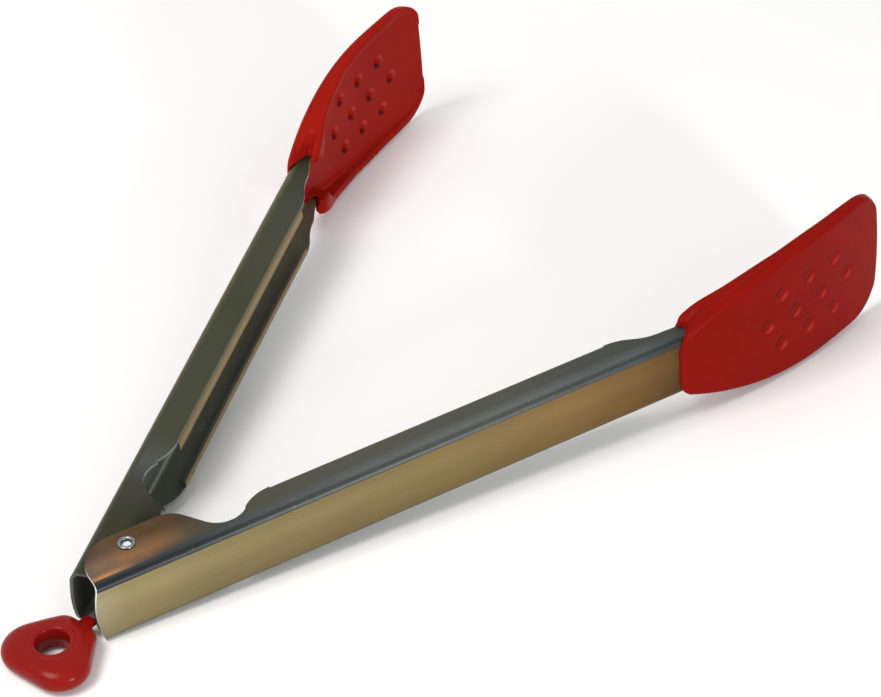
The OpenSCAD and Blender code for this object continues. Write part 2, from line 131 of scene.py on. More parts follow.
@dataclass(frozen=True)
class ArmFrame:
    """Frame of one arm: u along the arm, v inward, z along the pivot from the mid-plane."""

    side: Side
    half_open: float = 22.0
    mid_z: float = 11.5

    @property
    def cosine(self) -> float:
        """Cosine of the arm's angle."""
        return math.cos(math.radians(self.half_open))

    @property
    def sine(self) -> float:
        """Sine of the arm's angle, with the arm's sign."""
        return math.sin(math.radians(self.half_open)) * self.side.value

    def place(self, u: float, v: float, z: float) -> Vector:
        """Carries a point of the arm into the part's frame.

        Args:
            u: Distance along the arm in millimetres.
            v: Distance inward in millimetres.
            z: Height above the mid-plane in millimetres.

        Returns:
            The point in metres.
        """
        sign = self.side.value
        x = u * self.cosine + v * self.sine * sign
        y = sign * (v * self.cosine) - u * self.sine
        return Vector((x, y, z + self.mid_z)) * METRE

    def turned(self, axes: Axes, scale: float, mid: float) -> Axes:
        """Turns a vector of the part into this frame.

        Args:
            axes: Its three parts.
            scale: Factor for all of them.
            mid: Height of the mid-plane after scaling.

        Returns:
            The parts along, inward and up.
        """
        x, y, z = axes
        c, s = self.cosine * scale, self.sine * scale
        sign = self.side.value
        return x * c - y * s, x * (s * sign) + y * (c * sign), z * scale - mid


def new_piece(name: str, points: Iterable[Vector], faces: Faces) -> bpy.types.Object:
    """Makes a smooth-shaded mesh piece from points in metres.

    Args:
        name: Name of the piece.
        points: Points in the part's frame.
        faces: Corner numbers of each face.

    Returns:
        The new object, linked to the scene.
    """
    mesh = bpy.data.meshes.new(name)
    mesh.from_pydata([tuple(p) for p in points], [], faces)
    mesh.validate()
    mesh.shade_smooth()
    mesh.update()
    piece = bpy.data.objects.new(name, mesh)
    bpy.context.scene.collection.objects.link(piece)
    return piece


def ring_faces(rings: int, count: int, flip: bool, closed: bool = False) -> Faces:
    """Quads between neighbouring closed rings.

    Args:
        rings: Number of rings.
        count: Points in each ring.
        flip: Whether the faces turn the other way round.
        closed: Whether the last ring joins the first.

    Returns:
        The faces.
    """
    faces = []
    for i in range(rings if closed else rings - 1):
        a, b = i * count, ((i + 1) % rings) * count
        for j in range(count):
            k = (j + 1) % count
            quad = (a + j, a + k, b + k, b + j)
            faces.append(quad[::-1] if flip else quad)
    return faces


def tube_faces(rings: int, count: int) -> Faces:
    """Faces of a tube that is closed at both ends.

    Args:
        rings: Number of rings.
        count: Points in each ring.

    Returns:
        The wall's quads and the two caps.
    """
    first = tuple(range(count))[::-1]
    last = tuple((rings - 1) * count + j for j in range(count))
    return [*ring_faces(rings, count, False), first, last]


def dress(piece: bpy.types.Object, material: bpy.types.Material) -> None:
    """Gives a piece its finish as its only material, and logs it.

    Args:
        piece: The piece.
        material: Its finish.
    """
    piece.data.materials.clear()
    piece.data.materials.append(material)
    log.info("%s: %d faces, finish %s", piece.name, len(piece.data.polygons), material.name)


# ---------------------------------------------------------------- shader maths

Number = Union["Value", float, int]


class Value:
    """A number socket of a shader; arithmetic on it adds Math nodes."""

    def __init__(self, graph: "Graph", socket: bpy.types.NodeSocket) -> None:
        """Wraps a socket of a graph."""
        self.graph = graph
        self.socket = socket

    def math(self, operation: str, *others: Number, clamp: bool = False) -> "Value":
        """Adds a Math node whose first input is this value.

        Args:
            operation: Name of the node's operation.
            others: Its other inputs.
            clamp: Whether the result is held between 0 and 1.

        Returns:
            The node's result.
        """
        values = dict(enumerate((self, *others)))
        settings = {"operation": operation, "use_clamp": clamp}
        return self.graph.add("ShaderNodeMath", settings, values).value()

    def __add__(self, other: Number) -> "Value":
        """self + other."""
        return self.math("ADD", other)

    def __mul__(self, other: Number) -> "Value":
        """self * other."""
        return self.math("MULTIPLY", other)

    def __sub__(self, other: Number) -> "Value":
        """self - other."""
        return self.math("SUBTRACT", other)

    def __rsub__(self, other: Number) -> "Value":
        """other - self."""
        return self.graph.number(other).math("SUBTRACT", self)

    def __truediv__(self, other: Number) -> "Value":
        """self / other."""
        return self.math("DIVIDE", other)

    def __rtruediv__(self, other: Number) -> "Value":
        """other / self."""
        return self.graph.number(other).math("DIVIDE", self)

    def __neg__(self) -> "Value":
        """-self."""
        return self.math("MULTIPLY", -1.0)

    def __abs__(self) -> "Value":
        """abs(self)."""
        return self.math("ABSOLUTE")

    def __pow__(self, other: Number) -> "Value":
        """self ** other."""
        return self.math("POWER", other)

    __radd__ = __add__
    __rmul__ = __mul__

    def rise(self, low: float, high: float) -> "Value":
        """Smooth step over this value, rising or falling.

        Args:
            low: Value that gives 0.
            high: Value that gives 1.

        Returns:
            The step.
        """
        eased = {"interpolation_type": "SMOOTHSTEP"}
        values = {"Value": self, "From Min": low, "From Max": high, "To Min": 0.0, "To Max": 1.0}
        return self.graph.add("ShaderNodeMapRange", eased, values).value("Result")

    def hump(self, middle: float, width: float) -> "Value":
        """1 at middle, falling smoothly to 0 at width to either side."""
        return abs(self - middle).rise(width, 0.0)


class Added:
    """A node that a graph has added."""

    def __init__(self, graph: "Graph", node: bpy.types.Node) -> None:
        """Wraps a node of a graph."""
        self.graph = graph
        self.node = node

    def value(self, output: Union[str, int] = 0) -> Value:
        """One number output."""
        return Value(self.graph, self.node.outputs[output])

    def socket(self, output: Union[str, int] = 0) -> bpy.types.NodeSocket:
        """One output of any kind."""
        return self.node.outputs[output]


Input = Union[Value, bpy.types.NodeSocket, float, Sequence[float]]


class Graph:
    """Node tree of one finish, or of the surroundings."""

    def __init__(self, owner: Union[bpy.types.Material, bpy.types.World]) -> None:
        """Empties the node tree of a material or world.

        Args:
            owner: The material or world.
        """
        owner.use_nodes = True
        self.owner = owner
        self.tree = owner.node_tree
        self.tree.nodes.clear()

    @classmethod
    def of_finish(cls, name: str) -> "Graph":
        """Starts a new material of that name."""
        return cls(bpy.data.materials.new(name))

    def add(
        self,
        kind: str,
        settings: Optional[dict] = None,
        inputs: Optional[dict[Union[str, int], Input]] = None,
    ) -> Added:
        """Adds a node: its settings first, then its inputs.

        Args:
            kind: Blender's name of the node type.
            settings: Properties by name; "stops" holds a ramp's places and colours.
            inputs: Values or links by socket name or number.

        Returns:
            The node.
        """
        node = self.tree.nodes.new(kind)
        for name, setting in (settings or {}).items():
            if name == "stops":
                self._set_stops(node.color_ramp, setting)
            else:
                setattr(node, name, setting)
        for name, given in (inputs or {}).items():
            if isinstance(given, Value):
                given = given.socket
            if isinstance(given, bpy.types.NodeSocket):
                self.tree.links.new(given, node.inputs[name])
            else:
                node.inputs[name].default_value = given
        return Added(self, node)

    @staticmethod
    def _set_stops(ramp: bpy.types.ColorRamp, stops: Stops) -> None:
        """Writes a ramp's stops in order.

        Args:
            ramp: The ramp.
            stops: Places from 0 to 1 and their colours.
        """
        while len(ramp.elements) < len(stops):
            ramp.elements.new(1.0)
        for element, (place, colour) in zip(ramp.elements, stops):
            element.position = place
            element.color = (*colour, 1.0)

    def number(self, value: Number) -> Value:
        """A plain number as a value.

        Args:
            value: The number; a value stays as it is.

        Returns:
            The value.
        """
        if isinstance(value, Value):
            return value
        return self.add("ShaderNodeMath", {"operation": "ADD"}, {0: float(value), 1: 0.0}).value()

    def axes(self, output: str) -> Axes:
        """The three parts of one of the object's own coordinates.

        Args:
            output: Name of the coordinate.

        Returns:
            The parts along x, y and z.
        """
        source = self.add("ShaderNodeTexCoord").socket(output)
        split = self.add("ShaderNodeSeparateXYZ", None, {0: source})
        return split.value(0), split.value(1), split.value(2)

    def joined(self, x: Number, y: Number, z: Number) -> bpy.types.NodeSocket:
        """A vector from three values."""
        return self.add("ShaderNodeCombineXYZ", None, {0: x, 1: y, 2: z}).socket()

    def noise(
        self, place: bpy.types.NodeSocket, scale: float, detail: float, roughness: float
    ) -> Value:
        """Noise around 0.5 at a place.

        Args:
            place: Vector that it is read at.
            scale: Cells for each unit of that vector.
            detail: Number of finer layers.
            roughness: Share of the finer layers.

        Returns:
            The noise.
        """
        values = {"Vector": place, "Scale": scale, "Detail": detail, "Roughness": roughness}
        return self.add("ShaderNodeTexNoise", {"noise_dimensions": "3D"}, values).value(0)

    def ramp(self, along: Value, stops: Stops) -> bpy.types.NodeSocket:
        """Colour that changes with a value.

        Args:
            along: The value.
            stops: Values and their colours, in rising order.

        Returns:
            The colour.
        """
        low, high = stops[0][0], stops[-1][0]
        scaled = tuple(((place - low) / (high - low), colour) for place, colour in stops)
        values = {"Value": along, "From Min": low, "From Max": high}
        share = self.add("ShaderNodeMapRange", None, values).value("Result")
        return self.add("ShaderNodeValToRGB", {"stops": scaled}, {0: share}).socket()

    def mix(self, share: Number, first: Input, second: Input) -> bpy.types.NodeSocket:
        """Mixes two colours.

        Args:
            share: Share of the second one.
            first: First colour.
            second: Second colour.

        Returns:
            The mixed colour.
        """
        colours = [(*c, 1.0) if isinstance(c, tuple) else c for c in (first, second)]
        settings = {"data_type": "RGBA", "clamp_factor": True}
        inputs = {0: share, MIX_FIRST: colours[0], MIX_SECOND: colours[1]}
        return self.add("ShaderNodeMix", settings, inputs).socket(MIX_RESULT)

    def lit(self, colour: bpy.types.NodeSocket, gain: Value) -> bpy.types.NodeSocket:
        """A colour made lighter or darker by a factor."""
        inputs = {0: colour, "Scale": gain}
        return self.add("ShaderNodeVectorMath", {"operation": "SCALE"}, inputs).socket()

    def finish(
        self, constants: dict[str, float], inputs: dict[str, Input], relief: Value, depth: float
    ) -> bpy.types.Material:
        """Adds the surface shader and its relief.

        Args:
            constants: Sockets that are the same all over.
            inputs: Sockets that change over the surface.
            relief: Height of the fine relief, about 0 to 1.
            depth: Its depth in metres.

        Returns:
            The finished material.
        """
        height = {"Strength": 1.0, "Distance": depth, "Height": relief}
        normal = self.add("ShaderNodeBump", None, height).socket()
        sockets = {**constants, **inputs, "Normal": normal}
        surface = self.add("ShaderNodeBsdfPrincipled", None, sockets).socket()
        self.add("ShaderNodeOutputMaterial", None, {"Surface": surface})
        return self.owner


# ---------------------------------------------------------------- finishes


@dataclass(frozen=True)
class SheetPlace:
    """Where a point of an arm's sheet lies, in millimetres, and the direction that it faces."""

    u: Value
    v: Value
    z: Value
    nv: Value
    nz: Value


@dataclass(frozen=True)
class ArmSteel:
    """Brushed sheet steel of an arm, toned by region: web, bend, flange, ear, lips and edges, whose
    tones are painted reflections with painted shade, glints and highlights.
    """

    name: str
    frame: ArmFrame
    half_width: float
    web: Stops
    bend: Stops
    flange: Stops
    inside: Stops
    inner_web: Stops
    lip: Stops
    # The cut edges' colour is a painted glint; edge_rear sets how much of it runs round the rear,
    # and the edges lose metal so that the glint reads bright.
    cut_edge_glint: Rgb
    edge_rear: float
    edge_glint_diffuse: float
    # ear_glow scales the painted warm reflection on the ear, its grey patches and the painted
    # orange highlight.
    ear_glow: float
    # shade scales the painted shade above and over the bend and the painted glints on it.
    shade: float
    roughness: float = 0.34
    sheet: float = 0.9
    lip_start: float = 44.0
    lip_end: float = 175.0
    # Tones of the grey patches in the painted ear reflection, of the painted orange highlight, and
    # of the painted glints on the bend.
    ear_patch_tone: Rgb = tone(92, 86, 76)
    glow_tone: Rgb = tone(204, 142, 88)
    glint_tone: Rgb = tone(150, 162, 166)
    relief: float = 0.000012

    def build(self) -> bpy.types.Material:
        """Makes the material.

        Returns:
            The finish, brushed along the arm.
        """
        g = Graph.of_finish(self.name)
        u, v, z = self.frame.turned(g.axes("Object"), 1 / METRE, self.frame.mid_z)
        _, nv, nz = self.frame.turned(g.axes("Normal"), 1.0, 0.0)
        colour, bare = self.tones(g, SheetPlace(u, v, z, nv, nz))
        streaks = g.noise(g.joined(u * 0.03, v * 2.2, z * 2.2), 1.0, 4.0, 0.65)
        cloud = g.noise(g.joined(u * 0.05, v * 0.12, z * 0.16), 1.0, 3.0, 0.55)
        grain = g.noise(g.joined(u * 0.9, v * 1.6, z * 1.6), 1.0, 2.0, 0.7)
        gain = 0.70 + streaks * 0.26 + cloud * 0.22 + grain * 0.12
        rough = self.roughness - 0.06 + streaks * 0.16 + cloud * 0.06
        varying = {"Base Color": g.lit(colour, gain), "Roughness": rough, "Metallic": bare}
        fine = g.noise(g.joined(u * 0.12, v * 9.0, z * 9.0), 1.0, 2.0, 0.6)
        return g.finish({}, varying, fine * 0.7 + grain * 0.3, self.relief)

    def tones(self, g: Graph, at: SheetPlace) -> tuple[bpy.types.NodeSocket, Value]:
        """Colour of the whole arm, and how much of it is bare metal.

        Args:
            g: Graph that takes the nodes.
            at: Place on the sheet.

        Returns:
            The colour and the share of metal.
        """
        facing_out = (at.nz * at.z).rise(-0.2, 0.2) * abs(at.nz).rise(0.15, 0.4)
        hidden = (1.0 - facing_out) * (1.0 - at.nv.rise(0.05, -0.2))
        lip_run = at.u.rise(self.lip_start - 0.4, self.lip_start + 0.4)
        lip_run = lip_run * at.u.rise(self.lip_end, self.lip_end - 1.0)
        on_lip = at.v.rise(-2.7, -2.1) * lip_run
        lipped = on_lip * at.nv.rise(0.2, 0.6)
        edge = self.edge(at, on_lip)
        colour = g.mix(hidden, self.outer_tone(g, at), self.inner_tone(g, at))
        # Painted reflection on the lips: tan across them and grey at their edge.
        colour = g.mix(lipped, colour, g.ramp(abs(at.z) - self.half_width, self.lip))
        # Painted glint on the cut edges.
        colour = g.mix(edge * 0.95, colour, self.cut_edge_glint)
        # The inside loses metal so that its lighter paint makes up for the channel's shade; the cut
        # edges lose metal so that their painted glint reads bright.
        bare = 1.0 - hidden * (1.0 - lipped) * (1.0 - edge) * 0.55 - edge * self.edge_glint_diffuse
        return colour, bare

    def outer_tone(self, g: Graph, at: SheetPlace) -> bpy.types.NodeSocket:
        """Colour of the outside: flanges and ears, the darker bend, and the flat web, all painted
        reflection, with painted shade, glints and an orange highlight.

        Args:
            g: Graph that takes the nodes.
            at: Place on the sheet.

        Returns:
            The colour.
        """
        u, v, z, nv = at.u, at.v, at.z, at.nv
        bend = g.ramp(u, self.bend)
        # Grey patches breaking up the painted warm reflection on the ear.
        ear_patches = g.noise(g.joined(u * 0.11, v * 0.16, z * 0.16), 1.0, 4.0, 0.6).rise(0.38, 0.66)
        # Painted reflection, darker towards the ear's top.
        ear_top = v.rise(-5.0, 1.5) * u.rise(30.0, 5.0)
        flange = g.lit(g.ramp(u, self.flange), 1.0 - ear_top * 0.58)
        flange = g.mix(ear_patches * u.rise(20.0, 4.0) * self.ear_glow * 0.55, flange, self.ear_patch_tone)
        # Painted orange highlight along the bend beside the ear.
        glow = v.hump(-8.9, 1.7) * u.hump(-10.5, 9.0) * self.ear_glow
        flange = g.mix(glow, flange, self.glow_tone)
        # Painted shade above the bend, widening further along the arm.
        flange = g.mix(v.rise(-5.6, -9.4) * u.rise(-7.0, 10.0) * self.shade, flange, bend)
        # Painted glints on the bend.
        glint = g.noise(g.joined(u * 0.35, v * 1.1, z * 1.1), 1.0, 3.0, 0.65).rise(0.56, 0.78)
        bend = g.mix(glint * u.rise(2.0, 16.0) * 0.22 * self.shade, bend, self.glint_tone)
        # Painted shade over the part of the bend that the window lamp would light.
        bend = g.lit(bend, 1.0 - abs(nv).rise(0.15, 0.6) * 0.55 * self.shade)
        outer = g.mix(v.rise(-8.7, -9.7), flange, bend)
        flat = (abs(nv) + z.rise(1.0, -1.0) * 0.35).rise(0.93, 0.995) * v.rise(-10.8, -11.1)
        # Painted sheen in a band across the web, darker towards its lower edge.
        shine = z.hump(3.5, 6.0) * 0.16 - z.rise(-1.0, -9.5) * 0.16
        web = g.lit(g.ramp(u, self.web), 0.96 + shine)
        return g.mix(flat * nv.rise(0.0, -0.1), outer, web)

    def inner_tone(self, g: Graph, at: SheetPlace) -> bpy.types.NodeSocket:
        """Colour of the channel's inside, where the web's floor has its own, painted lighter than
        the steel to make up for the channel's shade and darker towards its open side as painted
        shade.

        Args:
            g: Graph that takes the nodes.
            at: Place on the sheet.

        Returns:
            The colour.
        """
        floor = abs(at.nv).rise(0.5, 0.9) * at.v.rise(-9.4, -10.4)
        deep = g.mix(floor, g.ramp(at.u, self.inside), g.ramp(at.u, self.inner_web))
        # Painted shade towards the channel's open side.
        return g.lit(deep, 1.0 - at.v.rise(-7.0, -2.0) * 0.35)

    def edge(self, at: SheetPlace, on_lip: Value) -> Value:
        """Share of painted glint on the cut edges: along the flanges and round the arm's rear end.

        Args:
            at: Place on the sheet.
            on_lip: Share of lip, which has no cut edge of this kind.

        Returns:
            The share, with a fainter painted glint in the rear.
        """
        upright = abs(at.nz)
        wall = self.half_width - self.sheet
        band = abs(at.z).rise(wall - 0.06, wall)
        cut = band * upright.rise(0.35, 0.15) * at.v.rise(-10.2, -9.2) * (1.0 - on_lip)
        rear = at.u.rise(-11.5, -12.5) * abs(at.nv).rise(0.6, 0.3) * upright.rise(0.6, 0.3)
        # Fainter painted glint round the rear end where edge_rear is low.
        fainter_glint = (1.0 - self.edge_rear) * at.u.rise(14.0, 6.0)
        return (cut + rear).rise(0.0, 1.0) * (1.0 - fainter_glint)


@dataclass(frozen=True)
class Silicone:
    """Satin moulded silicone: a faint mottle, a fine skin, and painted shade and painted highlight
    on the walls of the grip pattern.
    """

    name: str
    body: Rgb
    deep: Rgb
    frame: Optional[ArmFrame] = None
    gloss: float = 0.022
    roughness: float = 0.24
    grip_from: float = 201.0
    grip_to: float = 244.0
    grip_half: float = 13.0
    curve_r: float = 192.85
    start: float = 175.5
    # Painted shade for the grip's walls that lean down, and painted highlight for those that face
    # up.
    painted_shade_tone: Rgb = tone(58, 7, 5)
    painted_light_tone: Rgb = tone(192, 62, 58)
    relief: float = 0.0000035

    def build(self) -> bpy.types.Material:
        """Makes the material.

        Returns:
            The finish; only one with a frame tones the grip pattern.
        """
        g = Graph.of_finish(self.name)
        place = g.add("ShaderNodeTexCoord").socket("Object")
        cloud = g.noise(place, 70.0, 3.0, 0.55)
        mottle = g.noise(place, 900.0, 3.0, 0.6)
        skin = g.noise(place, 4200.0, 2.0, 0.5)
        colour = g.mix(cloud.rise(0.3, 0.7) * 0.6 + mottle * 0.3, self.body, self.deep)
        if self.frame:
            # Paints shade on the grip's walls that lean down and to the sheltered side, and a
            # highlight on those that face up.
            lean = self.lean(g, self.frame)
            colour = g.mix(lean.rise(0.04, 0.30) * 0.8, colour, self.painted_shade_tone)
            colour = g.mix((-lean).rise(0.10, 0.55) * 0.55, colour, self.painted_light_tone)
        constants = {"Metallic": 0.0, "Specular IOR Level": self.gloss}
        rough = self.roughness - 0.05 + mottle * 0.10 + cloud * 0.04
        varying = {"Base Color": colour, "Roughness": rough}
        return g.finish(constants, varying, skin * 0.5 + mottle * 0.5, self.relief)

    def lean(self, g: Graph, frame_of_arm: ArmFrame) -> Value:
        """How far a wall of the grip pattern leans down and to the sheltered side, which sets its
        painted shade and highlight.

        Args:
            g: Graph that takes the nodes.
            frame_of_arm: Frame of the arm that the head is on.

        Returns:
            The lean, 0 off the pattern and negative on the walls that face up.
        """
        u, _, z = frame_of_arm.turned(g.axes("Object"), 1 / METRE, frame_of_arm.mid_z)
        nu, nv, nz = frame_of_arm.turned(g.axes("Normal"), 1.0, 0.0)
        facing = nv.rise(-0.5, 0.5) * 2.0 - 1.0
        tilt = nu + facing * (u - self.start) / self.curve_r
        zone = u.rise(self.grip_from - 1.0, self.grip_from)
        zone = zone * u.rise(self.grip_to, self.grip_to - 1.0)
        zone = zone * abs(z).rise(self.grip_half, self.grip_half - 0.6) * abs(nv).rise(0.4, 0.6)
        return (nz * -0.85 - facing * tilt * 0.6) * zone


@dataclass(frozen=True)
class TurnedSteel:
    """Bright steel of a small turned or drawn piece, with fine rings or streaks along z."""

    name: str
    light: Rgb
    dark: Rgb
    roughness: float
    ring_scale: float
    relief: float = 0.00001

    def build(self) -> bpy.types.Material:
        """Makes the material.

        Returns:
            The finish, with its rings round the z axis.
        """
        g = Graph.of_finish(self.name)
        x, y, z = g.axes("Object")
        radius = (x * x + y * y) ** 0.5
        lathe = g.joined(radius * self.ring_scale, z * self.ring_scale, 0.0)
        rings = g.noise(lathe, 1.0, 2.0, 0.6)
        wear = g.noise(g.joined(x * 900.0, y * 900.0, z * 900.0), 1.0, 3.0, 0.6)
        colour = g.mix(rings * 0.6 + wear.rise(0.35, 0.75) * 0.4, self.light, self.dark)
        rough = self.roughness + rings * 0.12 + wear * 0.06
        varying = {"Base Color": colour, "Roughness": rough}
        return g.finish({"Metallic": 1.0}, varying, rings, self.relief)


@dataclass(frozen=True)
class RivetSteel:
    """Polished rivet: bright roll, light foot in its hollow, painted shade on the hollow's wall,
    and a painted shadow line where it sits on the arm.
    """

    name: str
    arm_top: float = 22.1
    foot: float = 21.3
    relief: float = 0.000015

    def build(self) -> bpy.types.Material:
        """Makes the material.

        Returns:
            The finish, toned by height and radius.
        """
        g = Graph.of_finish(self.name)
        x, y, z = (part * (1 / METRE) for part in g.axes("Object"))
        radius = (x * x + y * y) ** 0.5
        spin = g.noise(g.joined(radius * 7.0, z * 7.0, 0.0), 1.0, 2.0, 0.6)
        scuff = g.noise(g.joined(x, y, z), 1.4, 3.0, 0.6)
        bright = g.mix(scuff.rise(0.35, 0.7), tone(134, 144, 146), tone(104, 112, 114))
        # Painted shadow ring where the head meets the arm, and painted shade on the wall of the
        # hollow.
        seat = z.rise(self.arm_top + 0.42, self.arm_top + 0.12) * radius.rise(2.2, 2.5)
        wall = z.rise(self.arm_top + 0.4, self.arm_top) * radius.rise(1.75, 1.5)
        foot = z.rise(self.foot + 0.35, self.foot + 0.1) * radius.rise(1.45, 1.25)
        colour = g.mix(seat * 0.9, bright, tone(40, 46, 46))
        colour = g.mix(wall * 0.85, colour, tone(62, 66, 62))
        colour = g.mix(foot, colour, tone(232, 236, 230))
        rough = 0.17 + spin * 0.12 + scuff * 0.05
        bare = 1.0 - foot * 0.8 - wall * (1.0 - foot) * 0.4
        varying = {"Base Color": colour, "Roughness": rough, "Metallic": bare}
        return g.finish({}, varying, spin, self.relief)


@dataclass(frozen=True)
class Nylon:
    """Black moulded nylon with a fine grain."""

    name: str
    body: Rgb = (0.022, 0.022, 0.024)
    rubbed: float = 1.7
    relief: float = 0.00003

    def build(self) -> bpy.types.Material:
        """Makes the material.

        Returns:
            The finish, lighter where the grain stands up.
        """
        g = Graph.of_finish(self.name)
        place = g.add("ShaderNodeTexCoord").socket("Object")
        grain = g.noise(place, 1600.0, 3.0, 0.6)
        light = tuple(part * self.rubbed for part in self.body)
        colour = g.mix(grain.rise(0.3, 0.75), self.body, light)
        varying = {"Base Color": colour, "Roughness": 0.42 + grain * 0.2}
        return g.finish({"Metallic": 0.0}, varying, grain, self.relief)


@dataclass(frozen=True)
class StudioFloor:
    """Plain pale floor that reads white to the camera and keeps the object's shadow."""

    name: str = "pale_floor"
    light: Rgb = (0.93, 0.93, 0.925)
    dark: Rgb = (0.90, 0.90, 0.895)
    relief: float = 0.0001

    def build(self) -> bpy.types.Material:
        """Makes the material.

        Returns:
            The finish, without any gloss.
        """
        g = Graph.of_finish(self.name)
        place = g.add("ShaderNodeTexCoord").socket("Object")
        grain = g.noise(place, 30.0, 2.0, 0.5)
        colour = g.mix(grain * 0.2, self.light, self.dark)
        constants = {"Metallic": 0.0, "Specular IOR Level": 0.0, "Roughness": 0.9}
        return g.finish(constants, {"Base Color": colour}, grain, self.relief)


# ---------------------------------------------------------------- pieces


@dataclass
class SteelArm:
    """One stamped channel arm: its solid stays, and its sheet steel is finished here."""

    node: str
    finish: ArmSteel

    def build(self) -> bpy.types.Object:
        """Dresses the arm's solid.

        Returns:
            The solid's object.
        """
        arm = frame["nodes"][self.node]
        dress(arm, self.finish.build())
        return arm


